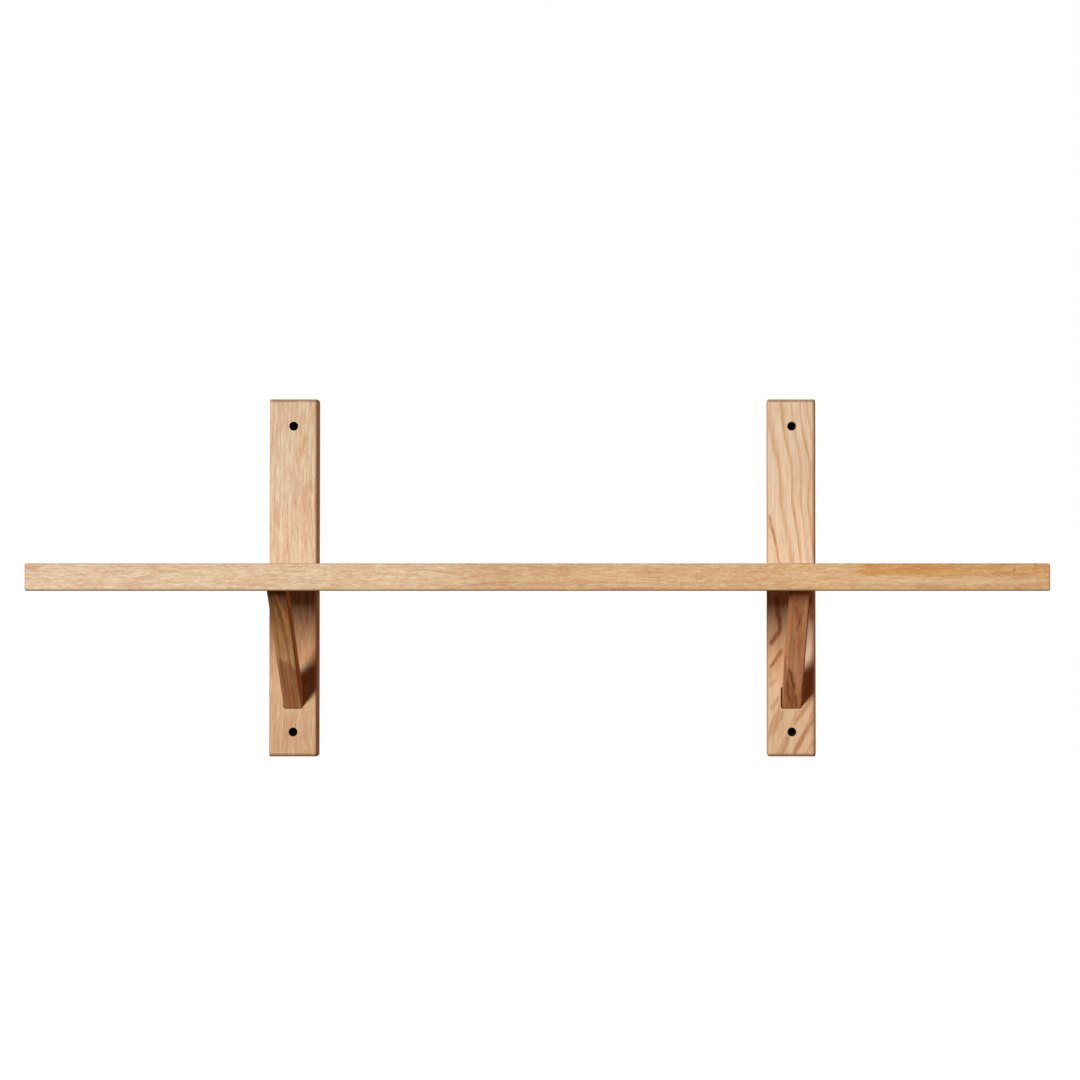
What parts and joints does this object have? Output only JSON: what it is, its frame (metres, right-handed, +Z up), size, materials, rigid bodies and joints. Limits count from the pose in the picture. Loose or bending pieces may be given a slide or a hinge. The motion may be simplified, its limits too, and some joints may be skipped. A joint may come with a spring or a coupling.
{
  "type": "wall shelf rack",
  "caption": "Solid oak wall shelf: a long board notched round upright wall plates, each with a plain screw hole near both ends and a housed diagonal strut below.",
  "frame": {"origin": "middle of the shelf board's rear edge, half way up its thickness, in the plane of the wall", "axes": "+X along the shelf to the right as seen from the room, +Y into the wall, +Z up"},
  "size_m": [0.8, 0.14, 0.297],
  "materials": {
    "oak_shelf": "oiled oak, satin, fine lengthwise grain with short dark pores",
    "oak_plate": "pale oiled oak, satin, upright grain",
    "oak_strut": "darker red-brown oiled oak, satin",
    "beech_dowel": "plain fluted beech",
    "zinc_steel": "bright zinc plate"
  },
  "bodies": {
    "root": {"shelf_board": "oak_shelf", "wall_plate_left": "oak_plate", "wall_plate_right": "oak_plate", "strut_left": "oak_strut", "strut_right": "oak_strut", "strut_dowel_left": "beech_dowel", "strut_dowel_right": "beech_dowel", "shelf_screw_left_left": "zinc_steel", "shelf_screw_left_right": "zinc_steel", "shelf_screw_right_left": "zinc_steel", "shelf_screw_right_right": "zinc_steel", "strut_screw_left": "zinc_steel", "strut_screw_right": "zinc_steel"}
  },
  "joints": []
}
